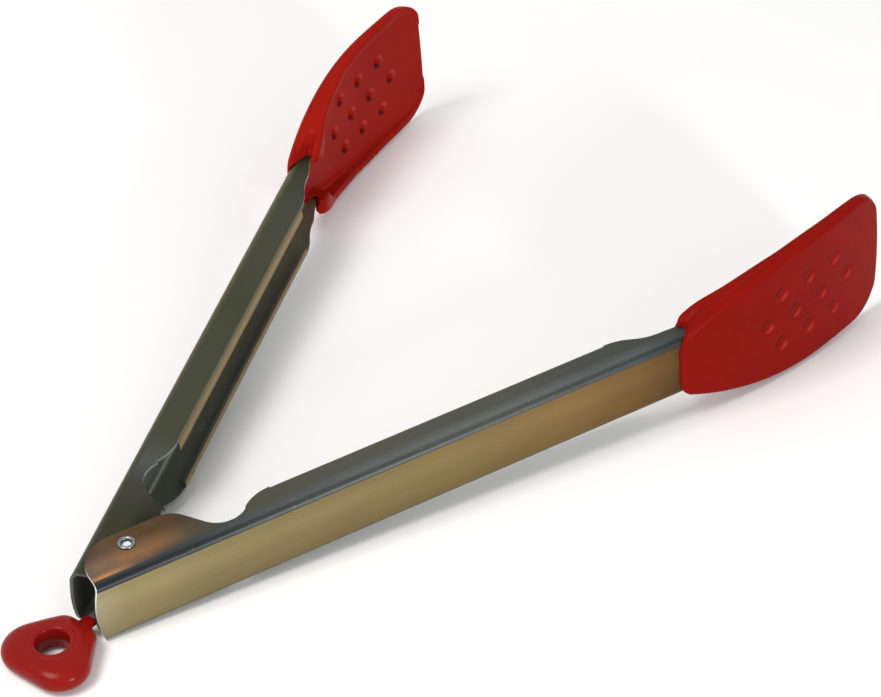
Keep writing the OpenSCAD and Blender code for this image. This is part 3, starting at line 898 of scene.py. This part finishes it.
@dataclass
class HeadCover:
    """Soft cover over an arm's end: a scoop with side rims, dimples outside and bumps inside."""

    name: str
    node: str
    body: str
    frame: ArmFrame
    arm_half: float
    flank_set: float
    start: float = 175.5
    length: float = 79.0
    half: float = 23.3
    sleeve_half: float = 11.6
    flare_run: float = 52.0
    curve_r: float = 192.85
    outer_v: float = -12.85
    floor_t: float = 2.6
    tip_r: float = 11.5
    rim_h: float = 9.1
    rim_slope: float = 0.108
    rim_low: float = 6.5
    rim_ease: float = 0.037
    rim_w: float = 3.0
    rim_crest: float = 8.0
    rim_crest_run: float = 7.0
    shoulder_h: float = 2.6
    shoulder_run: float = 3.5
    tip_rim: float = 0.4
    tip_run: float = 18.0
    seat: float = 7.8
    seat_run: float = 9.0
    corner_r: float = 1.9
    lip_edge_r: float = 0.9
    tip_edge_r: float = 1.2
    grip_mid: float = 46.8
    grip_pitch: float = 11.2
    grip_row: float = 9.5
    bump_r: float = 2.1
    bump_h: float = 0.9
    grip_from: float = 27.0
    grip_to: float = 67.0
    dimple_r: float = 2.5
    dimple_h: float = 0.7
    grip_stretch: float = 1.12
    bulge: float = 0.8
    bulge_half: float = 17.0
    bead_h: float = 0.32
    groove_h: float = 0.24
    edge_hollow: float = 2.1
    edge_hollow_half: float = 5.5

    def half_at(self, s: float) -> float:
        """Half of the width.

        Args:
            s: Distance from the sleeve end.

        Returns:
            The half width there.
        """
        flare = self.half - (self.half - self.sleeve_half) * max(0.0, 1 - s / self.flare_run) ** 2
        past = max(0.0, s - self.length + self.tip_r)
        tip = self.half - self.tip_r + math.sqrt(max(0.0, self.tip_r**2 - past**2))
        return min(flare, tip)

    def low_at(self, s: float) -> float:
        """Place of the outer face across the arm."""
        return self.outer_v + self.curve_r - math.sqrt(self.curve_r**2 - s * s)

    def rim_at(self, s: float) -> float:
        """Height of the side rims, which start with a rounded shoulder and swell behind it.

        Args:
            s: Distance from the sleeve end.

        Returns:
            The height there, which falls to the floor's at the tip.
        """
        full = max(self.rim_h - self.rim_slope * s, self.rim_low - self.rim_ease * s)
        crest = math.exp(-(((s - self.rim_crest) / self.rim_crest_run) ** 2))
        full += crest - self.shoulder_h * max(0.0, 1 - s / self.shoulder_run) ** 2
        faded = smooth(s, self.length - self.tip_run, self.length - 3)
        return full + (self.floor_t + self.tip_rim - full) * faded

    def stations(self) -> list[float]:
        """Distances of the cross-sections from the sleeve end, close together at ends and grips.

        Returns:
            The distances in rising order.
        """
        ends = [0, 0.04, 0.12, 0.25, 0.42, 0.62, 0.9, 1.2, 1.55, 1.95, 2.4, 2.9, 3.4, 4.0]
        first = between(4.8, self.grip_from, 24)
        grips = between(self.grip_from, self.grip_to, 120)
        turns = [math.radians(a) for a in range(7, 90, 3)]
        last = [self.length - self.tip_r + self.tip_r * math.sin(a) for a in turns]
        last = [s for s in last if s > self.grip_to + 0.3]
        close = [self.length - 0.008, self.length]
        return sorted({*map(float, ends), *first, *grips, *last, *close})

    def columns(self) -> list[float]:
        """Places of the lengthwise lines across the grip, close together over the domes.

        Returns:
            The places from the middle out.
        """
        fine = 0.38
        inner = [i * fine for i in range(8)]
        gap = between(8 * fine, self.grip_row - 8 * fine, 4)
        row = [self.grip_row + i * fine for i in range(-8, 9)]
        return inner + gap + row

    def swell(self, s: float, z: float, radius: float, height: float) -> float:
        """Height of the grip pattern's domes at a point.

        Args:
            s: Distance from the sleeve end.
            z: Distance from the middle line.
            radius: Radius of a dome.
            height: Its height.

        Returns:
            The height there, 0 between the domes.
        """
        row = min(1, round(abs(z) / self.grip_row))
        count = 3 if row else 4
        for i in range(count):
            middle = self.grip_mid + (i - (count - 1) / 2) * self.grip_pitch
            across = (abs(z) - row * self.grip_row) / self.grip_stretch
            away = math.hypot(s - middle, across) / radius
            if away < 1:
                return height * (1 - away**3)
        return 0.0

    def section(self, s: float) -> tuple[list[Flat], list[Flat]]:
        """Right half of the cross-section as (z, v) points.

        Args:
            s: Distance from the sleeve end.

        Returns:
            Outer and inner line, each from the middle to the top of the rim.
        """
        side_r = self.sleeve_half - self.arm_half + 0.25
        ease = self.quarter(s, self.lip_edge_r) + self.quarter(self.length - s, self.tip_edge_r)
        side = self.quarter(s, side_r) + self.quarter(self.length - s, self.tip_edge_r)
        half = self.half_at(s) - side
        low = self.low_at(s) + ease
        high = self.low_at(s) + self.rim_at(s) - ease
        floor = self.low_at(s) + self.floor_t - ease
        seat = self.seat + max(0.0, s - self.seat_run)
        wall = min(self.half_at(s) - self.rim_w, seat) + ease * 0.6
        rise = max(0.12, high - floor)
        corner = max(0.1, min(self.corner_r - 0.5 * ease, 0.45 * (high - low)))
        top_r = min(1.2, (half - wall) * 0.42, 0.5 * rise)
        fade = 1 - smooth(s, 26, 46)
        outer = [(z, low) for z in self.spread(half - corner)]
        outer += arc(half - corner, low + corner, corner, -90, 0, 8)[:-1]
        flank = between(low + corner, high - top_r, 14)
        outer += [(half + fade * self.bead(v - low), v) for v in flank]
        outer += arc(half - top_r, high - top_r, top_r, 0, 90, 7)
        middle = (half - top_r + wall + top_r) / 2
        outer.append((middle, high))
        foot_r = min(0.9, rise * 0.4)
        lean = 0.12 * rise
        inner = [(z, floor) for z in self.spread(wall - lean - foot_r)]
        inner += arc(wall - lean - foot_r, floor + foot_r, foot_r, -90, 0, 6)[:-1]
        steps = 17
        for i in range(steps):
            t = i / steps
            height = floor + foot_r + (high - top_r - floor - foot_r) * t
            inner.append((wall - lean * (1 - t), height))
        inner += arc(wall + top_r, high - top_r, top_r, 180, 90, 6)
        return outer, inner[: len(outer) - 1] + [outer[-1]]

    def quarter(self, away: float, radius: float) -> float:
        """How far a rounded end stands back at a distance from it."""
        return radius * (1 - math.sqrt(max(0.0, 1 - max(0.0, 1 - away / radius) ** 2)))

    def bead(self, rise: float) -> float:
        """Profile of the groove and bead along a flank, at a height above the outer face."""
        ridge = self.bead_h * math.exp(-(((rise - 3.0) / 0.42) ** 2))
        return ridge - self.groove_h * math.exp(-(((rise - 2.1) / 0.55) ** 2))

    def spread(self, reach: float) -> list[float]:
        """Lengthwise lines from the middle out, at the grip's places where there is room.

        Args:
            reach: Distance of the outermost line from the middle.

        Returns:
            The lines' places, without reach itself.
        """
        lines = self.columns()
        squeeze = min(1.0, (reach - 0.8) / (lines[-1] + 0.6))
        kept = [z * squeeze for z in lines]
        return kept + between(kept[-1] + (reach - kept[-1]) / 7, reach, 6)

    def set_back(self, s: float, z: float, v: float, is_inner: bool) -> float:
        """How far the sleeve's rear edge stands back at a point, fading along the head.

        Args:
            s: Distance from the sleeve end.
            z: Distance from the middle line.
            v: Place across the arm.
            is_inner: Whether the point is on the inner line.

        Returns:
            The distance, negative where the edge bulges to the rear.
        """
        fade = 1 - smooth(s, 0.0, 12.0)
        if fade <= 0:
            return 0.0
        rise = v - self.low_at(s)
        middle = self.edge_hollow_half
        corner = min(1.0, max(0.0, (abs(z) - middle) / middle))
        edge = -self.edge_hollow + 2.3 * corner * corner
        if is_inner:
            edge = 1.6 + 0.8 * corner
        flank = smooth(rise, 0.6, 5.4) * (1 - 0.8 * smooth(rise, 5.8, 7.6))
        return fade * (edge + self.flank_set * flank * smooth(abs(z), 6.0, 9.0))

    def ring(self, s: float) -> list[Vector]:
        """Closed cross-section in the part's frame.

        Args:
            s: Distance from the sleeve end.

        Returns:
            Its points in metres.
        """
        outer, inner = self.section(s)
        right = [(z, v, False) for z, v in outer]
        right += [(z, v, True) for z, v in inner[-2::-1]]
        left = [(-z, v, True) for z, v in inner[1:]]
        left += [(-z, v, False) for z, v in outer[-2:0:-1]]
        slope = math.asin(s / self.curve_r)
        tip = smooth(s, self.length - 16, self.length)
        points = []
        for z, v, is_inner in right + left:
            lift = 0.0
            if 25 < s < 68 and abs(z) < 13:
                if is_inner and v < self.low_at(s) + self.floor_t + 0.01:
                    lift = self.swell(s, z, self.bump_r, self.bump_h)
                elif not is_inner and v < self.low_at(s) + 0.01:
                    lift = self.swell(s, z, self.dimple_r, self.dimple_h)
            along = s + self.set_back(s, z, v, is_inner) - lift * math.sin(slope)
            along += self.bulge * tip * max(0.0, 1 - (z / self.bulge_half) ** 2)
            points.append(self.frame.place(self.start + along, v + lift * math.cos(slope), z))
        return points

    def build(self, finish: bpy.types.Material) -> bpy.types.Object:
        """Makes the cover.

        Args:
            finish: Its material.

        Returns:
            The piece, riding on its arm.
        """
        rings = [self.ring(s) for s in self.stations()]
        count = len(rings[0])
        points = [p for ring in rings for p in ring]
        flip = self.frame.side is Side.INNER
        faces = ring_faces(len(rings), count, flip)
        faces += self.end_faces(count, 0, not flip)
        faces += self.end_faces(count, (len(rings) - 1) * count, flip)
        piece = new_piece(self.name, points, faces)
        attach(piece, self.body)
        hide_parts(self.node)
        dress(piece, finish)
        return piece

    @staticmethod
    def end_faces(count: int, first: int, flip: bool) -> Faces:
        """Faces across the wall that close an end.

        Args:
            count: Points in the end's ring.
            first: Number of its first point.
            flip: Whether the faces turn the other way round.

        Returns:
            The faces.
        """
        reach = (count + 4) // 4 - 1
        foot = 2 * reach
        faces: Faces = []
        for j in range(reach):
            near, far = foot - j, foot - j - 1
            quad = (j, j + 1, near) if far == j + 1 else (j, j + 1, far, near)
            faces += [quad, tuple((count - k) % count for k in quad[::-1])]
        return [f[::-1] if flip else f for f in faces]


@dataclass
class PullTab:
    """Rounded triangular tab with a hang hole whose rim stands proud, and a neck into the arms."""

    centre_x: float = -32.25
    mid_z: float = 6.5
    rear_x: float = -35.5
    outline_steps: int = 360
    rear_y: float = 5.6
    rear_r: float = 8.5
    front_x: float = -24.7
    front_y: float = 3.3
    front_r: float = 4.2
    hole_r: float = 4.8
    hole_rim: float = 1.0
    half_t: float = 4.0
    groove: float = 0.14
    groove_at: float = 0.95
    groove_w: float = 0.11
    neck_half: float = 2.1
    neck_t: float = 1.0
    neck_drop: float = 0.2
    neck_end: float = -17.1
    steps: int = 144

    def reach(self, turn: float) -> float:
        """Distance from the hole's middle to the outline, which wraps round four discs.

        Args:
            turn: Direction in radians.

        Returns:
            The distance.
        """
        discs = [
            (self.rear_x - self.centre_x, self.rear_y, self.rear_r),
            (self.front_x - self.centre_x, self.front_y, self.front_r),
        ]
        best = 1e9
        for i in range(self.outline_steps):
            a = 2 * math.pi * i / self.outline_steps
            facing = math.cos(a - turn)
            if facing > 0.05:
                span = max(x * math.cos(a) + y * abs(math.sin(a)) + r for x, y, r in discs)
                best = min(best, span / facing)
        return best

    def section(self, reach: float) -> list[Flat]:
        """Closed cross-section of the ring round the hole.

        Args:
            reach: Distance from the hole's middle to the outline.

        Returns:
            Its points: distance from the hole's middle, and height.
        """
        rim, top = self.hole_rim, self.half_t
        upper = arc(self.hole_r + rim, top - rim, rim, 180, 90, 8)
        start = upper[-1][0]
        span, line, past = reach - start, self.groove_at, self.groove_at + 0.35
        degrees = (5, 10, 16, 22, 28, 34, 40, 46, 52, 58, 64, 70, 76, 81, 85, 88, 90)
        outward = [past + (span - past) * math.sin(math.radians(a)) for a in degrees]
        for away in [0.3, 0.6, line - 0.12, line, line + 0.12, past, *outward]:
            crown = top * max(0.0, 1 - (away / span) ** 3) ** 0.45
            dip = self.groove * math.exp(-(((away - line) / self.groove_w) ** 2))
            upper.append((start + away, crown - dip))
        wall = [(self.hole_r, -0.3), (self.hole_r - 0.15, 0.0), (self.hole_r, 0.3)]
        lower = [(x, -z) for x, z in upper[-2::-1]]
        return upper + lower + wall

    def build(self, finish: bpy.types.Material) -> list[bpy.types.Object]:
        """Makes the tab and its neck.

        Args:
            finish: Their material.

        Returns:
            Both pieces, riding on the sliding lock.
        """
        points = []
        for i in range(self.steps):
            turn = 2 * math.pi * i / self.steps
            for x, z in self.section(self.reach(turn)):
                place = (self.centre_x + x * math.cos(turn), x * math.sin(turn), self.mid_z + z)
                points.append(Vector(place) * METRE)
        count = len(points) // self.steps
        faces = ring_faces(self.steps, count, True, closed=True)
        tab = new_piece("pull_tab_body", points, faces)
        neck = self.neck()
        for piece in (tab, neck):
            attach(piece, "lock_slide")
            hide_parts("pull_tab")
            dress(piece, finish)
        return [tab, neck]

    def neck(self) -> bpy.types.Object:
        """Flared neck from the tab's front edge into the arms.

        Returns:
            The piece.
        """
        start = self.front_x + 2.2
        points: list[Vector] = []
        steps, count = 14, 32
        for i in range(steps):
            t = i / (steps - 1)
            x = start + (self.neck_end - start) * t
            flare = 1 + 0.3 * (1 - smooth(t, 0.0, 0.75))
            end = 1 - 0.12 * max(0.0, (t - 0.86) / 0.14) ** 2
            for j in range(count):
                a = 2 * math.pi * j / count
                c, s = math.cos(a), math.sin(a)
                y = math.copysign(abs(c) ** 0.6, c) * self.neck_half * flare * end
                z = math.copysign(abs(s) ** 0.6, s) * self.neck_t * flare * end
                points.append(Vector((x, y, self.mid_z - self.neck_drop + z)) * METRE)
        return new_piece("pull_tab_neck", points, tube_faces(steps, count))


@dataclass
class PivotRivet:
    """Tubular rivet with a rolled upper head, a hollow, and a flat lower head."""

    low: float = 0.0
    arm_top: float = 22.1
    shank_r: float = 2.0
    head_r: float = 2.65
    head_h: float = 0.9
    bore_r: float = 1.5
    bore_h: float = 0.8
    steps: int = 64

    def profile(self) -> list[Flat]:
        """Half outline, from the axis below to the axis in the hollow.

        Returns:
            Its points: radius and height.
        """
        roll = (self.head_r - self.bore_r) / 2
        edge = 0.28
        lower = arc(self.head_r - edge, self.low + edge, edge, -90, 0, 5)
        rim = arc(self.head_r - edge, self.low + self.head_h - edge, edge, 0, 90, 5)
        upper = arc(self.bore_r + roll, self.arm_top, roll, 0, 165, 16)
        foot = self.arm_top - self.bore_h
        hollow = [(self.bore_r, self.arm_top - 0.15), (self.bore_r, foot + 0.25)]
        hollow.append((self.bore_r - 0.25, foot))
        shank = [(self.shank_r, self.low + self.head_h), (self.shank_r, self.arm_top - 0.02)]
        return lower + rim + shank + upper + hollow

    def build(self, finish: bpy.types.Material) -> bpy.types.Object:
        """Makes the rivet.

        Args:
            finish: Its material.

        Returns:
            The piece, riding on the outer arm.
        """
        profile = self.profile()
        points = []
        for i in range(self.steps):
            a = 2 * math.pi * i / self.steps
            points += [Vector((r * math.cos(a), r * math.sin(a), z)) * METRE for r, z in profile]
        count = len(profile)
        faces = []
        for i in range(self.steps):
            a, b = i * count, ((i + 1) % self.steps) * count
            faces += [(a + j, b + j, b + j + 1, a + j + 1) for j in range(count - 1)]
        faces.append(tuple(i * count for i in range(self.steps))[::-1])
        faces.append(tuple(i * count + count - 1 for i in range(self.steps)))
        piece = new_piece("rivet", points, faces)
        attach(piece, "outer_arm")
        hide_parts("pivot_rivet")
        dress(piece, finish)
        return piece


@dataclass
class CoilSpring:
    """Torsion spring: close coils round the spacer, with a leg lying in each arm's channel."""

    mid_z: float = 11.5
    coil_r: float = 3.82
    wire_r: float = 0.63
    low_z: float = -2.7
    high_z: float = 2.9
    full_turns: int = 4
    leg_run: float = 30.0
    leg_end_v: float = 10.3

    def path(self) -> list[Vector]:
        """Centre line, from the outer arm's leg end to the inner arm's leg end.

        Returns:
            Its points in metres.
        """
        outer, inner = ArmFrame(Side.OUTER), ArmFrame(Side.INNER)
        turn = math.degrees(math.atan2(*outer.place(0, -self.coil_r, 0).yx))
        sweep = -360 * self.full_turns - (360 - 2 * abs(turn))
        steps = 40 * self.full_turns
        leg = [self.leg(outer, t / 10, self.low_z) for t in range(10, 0, -1)]
        coil = []
        for i in range(steps + 1):
            a = math.radians(turn + sweep * i / steps)
            height = self.mid_z + self.low_z + (self.high_z - self.low_z) * i / steps
            x, y = self.coil_r * math.cos(a), self.coil_r * math.sin(a)
            coil.append(Vector((x, y, height)) * METRE)
        far = [self.leg(inner, t / 10, self.high_z) for t in range(1, 11)]
        return leg + coil + far

    def leg(self, arm: ArmFrame, share: float, z: float) -> Vector:
        """Point of a leg at a share of its length."""
        v = -self.coil_r - (self.leg_end_v - self.coil_r) * share
        return arm.place(self.leg_run * share * 0.985, v, z)

    def build(self, finish: bpy.types.Material) -> bpy.types.Object:
        """Makes the spring.

        Args:
            finish: Its material.

        Returns:
            The piece, with a leg in each arm's channel.
        """
        path = self.path()
        count = 14
        points: list[Vector] = []
        side = Vector((0, 0, 1))
        for i, place in enumerate(path):
            ahead = (path[min(i + 1, len(path) - 1)] - path[max(i - 1, 0)]).normalized()
            side = (side - ahead * side.dot(ahead)).normalized()
            across = ahead.cross(side)
            shrink = 0.8 if i in (0, len(path) - 1) else 1.0
            for j in range(count):
                a = 2 * math.pi * j / count
                away = side * math.cos(a) + across * math.sin(a)
                points.append(place + away * self.wire_r * shrink * METRE)
        piece = new_piece("spring", points, tube_faces(len(path), count))
        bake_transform(piece)
        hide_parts("torsion_spring")
        dress(piece, finish)
        return piece


@dataclass(frozen=True)
class Lamp:
    """One soft square lamp, placed and sized in metres, with its power in watts."""

    name: str
    place: tuple[float, float, float]
    size: float
    power: float
    colour: Rgb

    def hang(self, target: Sequence[float]) -> bpy.types.Object:
        """Makes the lamp.

        Args:
            target: Point that it faces.

        Returns:
            The lamp's object.
        """
        data = bpy.data.lights.new(self.name, "AREA")
        data.size = self.size
        data.energy = self.power
        data.color = self.colour
        lamp = bpy.data.objects.new(self.name, data)
        lamp.location = self.place
        facing = Vector(target) - Vector(self.place)
        lamp.rotation_euler = facing.to_track_quat("-Z", "Y").to_euler()
        bpy.context.scene.collection.objects.link(lamp)
        return lamp


@dataclass
class Studio:
    """Floor, soft lights and camera; its own lengths are in metres."""

    eye: tuple[float, float, float] = (-0.43403, -0.51823, 0.65543)
    aim: tuple[float, float, float] = (0.56258, 0.51108, -0.64984)
    roll: float = -5.08
    lens: float = 135.384
    sensor: float = 36.0
    near: float = 0.01
    floor_size: float = 2.4
    floor_lines: int = 9
    floor_drop: float = 0.00015
    tab_rest: float = 0.004
    middle: tuple[float, float, float] = (0.09, 0.0, 0.01)
    shade_level: Rgb = (0.64, 0.64, 0.64)
    white: Rgb = (1.0, 1.0, 1.0)
    lamps: tuple[Lamp, ...] = (
        Lamp("key", (-0.45, 0.15, 1.05), 0.5, 8.5, (1.0, 0.985, 0.96)),
        Lamp("window", (-0.2, -1.05, 0.38), 0.15, 4.6, (0.97, 0.98, 1.0)),
    )

    def camera(self) -> bpy.types.Object:
        """Makes the camera and hands it to the scene.

        Returns:
            The camera's object.
        """
        data = bpy.data.cameras.new("camera")
        data.lens = self.lens
        data.sensor_width = self.sensor
        data.clip_start = self.near
        camera = bpy.data.objects.new("camera", data)
        camera.location = self.eye
        facing = Vector(self.aim).to_track_quat("-Z", "Y")
        camera.rotation_mode = "QUATERNION"
        camera.rotation_quaternion = facing @ Quaternion((0, 0, 1), math.radians(self.roll))
        bpy.context.scene.collection.objects.link(camera)
        bpy.context.scene.camera = camera
        return camera

    def floor(self, finish: bpy.types.Material) -> bpy.types.Object:
        """Makes the surface that the heads and the tab rest on.

        Args:
            finish: Its material.

        Returns:
            The floor, which isn't part of the object.
        """
        tab_low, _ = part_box("pull_tab")
        head_low, head_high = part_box("outer_head_cover")
        rear = Vector((tab_low.x + self.tab_rest, 0, tab_low.z))
        front = Vector(((head_low.x + head_high.x) / 2, 0, head_low.z))
        slope = (front.z - rear.z) / (front.x - rear.x)
        lines = self.floor_lines
        marks = [self.floor_size * (i / (lines - 1) - 0.5) for i in range(lines)]
        level = rear.z - slope * rear.x - self.floor_drop
        points = [Vector((x, y, level + slope * x)) for x in marks for y in marks]
        corners = [i * lines + j for i in range(lines - 1) for j in range(lines - 1)]
        faces = [(a, a + lines, a + lines + 1, a + 1) for a in corners]
        piece = new_piece("floor", points, faces)
        piece.data.materials.append(finish)
        return piece

    def world(self) -> None:
        """Makes the even surroundings, white to the camera and in reflections."""
        world = bpy.data.worlds.new("surroundings")
        g = Graph(world)
        rays = g.add("ShaderNodeLightPath")
        seen = rays.value("Is Camera Ray").math("MAXIMUM", rays.value("Is Glossy Ray"))
        seen = seen.math("MAXIMUM", rays.value("Is Transmission Ray"))
        level = g.mix(seen, self.shade_level, self.white)
        sky = g.add("ShaderNodeBackground", None, {"Color": level}).socket()
        g.add("ShaderNodeOutputWorld", None, {"Surface": sky})
        bpy.context.scene.world = world

    def build(self) -> None:
        """Sets up the whole studio."""
        self.camera()
        self.floor(StudioFloor().build())
        self.world()
        for lamp in self.lamps:
            lamp.hang(self.middle)
        bpy.context.scene.view_settings.view_transform = "Standard"


# ---------------------------------------------------------------- finishes of this object

# The arms' colour tables are painted reflections. The tan web stands in for a tan table that it
# mirrored, the dark flanges for a dark ceiling, and the orange ear for warm surroundings. The
# bend's blue-grey and the lips' tan are painted reflections too. The inside tables are painted
# lighter than the steel to make up for the shade in the channel.
OUTER_STEEL = ArmSteel(
    name="outer_arm_steel",
    frame=ArmFrame(Side.OUTER),
    half_width=10.6,
    web=(
        (-14.0, tone(156, 145, 115)),
        (-6.0, tone(148, 135, 97)),
        (20.0, tone(137, 125, 88)),
        (45.0, tone(135, 120, 84)),
        (100.0, tone(133, 115, 75)),
        (140.0, tone(133, 106, 65)),
        (160.0, tone(120, 92, 53)),
        (175.0, tone(90, 66, 38)),
    ),
    bend=(
        (-14.0, tone(56, 60, 64)),
        (15.0, tone(64, 68, 70)),
        (60.0, tone(92, 96, 94)),
        (110.0, tone(104, 107, 104)),
        (160.0, tone(90, 96, 96)),
        (176.0, tone(64, 68, 66)),
    ),
    flange=(
        (-14.0, tone(116, 98, 82)),
        (-4.0, tone(150, 109, 74)),
        (8.0, tone(130, 95, 62)),
        (17.0, tone(86, 76, 58)),
        (26.0, tone(76, 75, 63)),
        (60.0, tone(84, 84, 74)),
        (120.0, tone(83, 84, 75)),
        (155.0, tone(74, 76, 70)),
        (176.0, tone(66, 68, 60)),
    ),
    inside=(
        (-14.0, tone(116, 114, 104)),
        (60.0, tone(142, 142, 124)),
        (176.0, tone(110, 98, 80)),
    ),
    inner_web=(
        (-14.0, tone(112, 104, 88)),
        (60.0, tone(140, 130, 104)),
        (176.0, tone(110, 94, 74)),
    ),
    lip=(
        (-4.0, tone(110, 88, 42)),
        (-2.6, tone(132, 108, 62)),
        (-1.2, tone(140, 122, 88)),
        (0.0, tone(96, 96, 86)),
    ),
    cut_edge_glint=tone(238, 244, 248),
    edge_rear=1.0,
    edge_glint_diffuse=0.75,
    ear_glow=0.9,
    shade=0.85,
)

# Painted reflections as on the outer arm, but darker; its inside tables are painted lighter than
# the steel to make up for the channel's shade.
INNER_STEEL = ArmSteel(
    name="inner_arm_steel",
    frame=ArmFrame(Side.INNER),
    half_width=9.55,
    web=(
        (-18.0, tone(52, 54, 52)),
        (0.0, tone(60, 60, 54)),
        (90.0, tone(78, 78, 66)),
        (176.0, tone(66, 62, 48)),
    ),
    bend=((-18.0, tone(58, 60, 50)), (40.0, tone(70, 70, 50)), (176.0, tone(84, 82, 50))),
    flange=(
        (-18.0, tone(56, 56, 46)),
        (10.0, tone(60, 61, 46)),
        (24.0, tone(66, 66, 58)),
        (34.0, tone(82, 84, 78)),
        (46.0, tone(70, 72, 56)),
        (110.0, tone(66, 68, 50)),
        (150.0, tone(70, 71, 58)),
        (182.0, tone(52, 54, 44)),
    ),
    inside=(
        (-18.0, tone(112, 112, 108)),
        (60.0, tone(132, 136, 124)),
        (150.0, tone(138, 138, 124)),
        (182.0, tone(112, 102, 86)),
    ),
    inner_web=(
        (-18.0, tone(108, 112, 108)),
        (60.0, tone(118, 124, 116)),
        (182.0, tone(112, 102, 86)),
    ),
    lip=(
        (-4.0, tone(110, 86, 36)),
        (-2.6, tone(130, 104, 54)),
        (-1.2, tone(142, 120, 80)),
        (0.0, tone(88, 92, 84)),
    ),
    cut_edge_glint=tone(124, 132, 130),
    edge_rear=0.3,
    edge_glint_diffuse=0.5,
    ear_glow=0.0,
    shade=0.0,
)

TAB_RED = Silicone(
    "red_silicone_skin", tone(134, 17, 11), tone(124, 14, 8), gloss=0.11, roughness=0.21
)
OUTER_RED = Silicone(
    "red_silicone_outer_head", tone(134, 18, 11), tone(124, 15, 8), ArmFrame(Side.OUTER)
)
# The inner head's silicone is painted lighter than the outer's to make up for the shade it sits in.
INNER_RED = Silicone(
    "red_silicone_inner_head", tone(148, 24, 14), tone(137, 20, 11), ArmFrame(Side.INNER)
)
SPRING_WIRE = TurnedSteel(
    "spring_wire_drawn", tone(198, 200, 202), tone(150, 152, 154), roughness=0.24, ring_scale=900.0
)
LOCK_STEEL = TurnedSteel(
    "lock_steel_satin", tone(176, 178, 180), tone(140, 141, 143), roughness=0.34, ring_scale=500.0
)

OUTER_HEAD = HeadCover(
    name="outer_head",
    node="outer_head_cover",
    body="outer_arm",
    frame=ArmFrame(Side.OUTER),
    arm_half=10.6,
    flank_set=2.7,
)
INNER_HEAD = HeadCover(
    name="inner_head",
    node="inner_head_cover",
    body="inner_arm",
    frame=ArmFrame(Side.INNER),
    arm_half=9.55,
    flank_set=6.0,
)
LOCK_SOLIDS = {
    "spacer_sleeve": "rivet_steel",
    "lock_strip": "lock_steel",
    "lock_stud": "lock_steel",
}


def main() -> None:
    """Builds the studio, then every piece in order."""
    logging.basicConfig(level=logging.INFO, format="%(message)s")
    Studio().build()
    SteelArm("outer_arm", OUTER_STEEL).build()
    SteelArm("inner_arm", INNER_STEEL).build()
    OUTER_HEAD.build(OUTER_RED.build())
    INNER_HEAD.build(INNER_RED.build())
    PullTab().build(TAB_RED.build())
    PivotRivet().build(RivetSteel("rivet_polish").build())
    CoilSpring().build(SPRING_WIRE.build())
    lock = LOCK_STEEL.build()
    for node, slot in LOCK_SOLIDS.items():
        dress(frame["nodes"][node], lock)
    nylon = Nylon("black_nylon_grain").build()
    for node in ("guide_bush", "guide_washer"):
        dress(frame["nodes"][node], nylon)


if __name__ == "__main__":
    main()
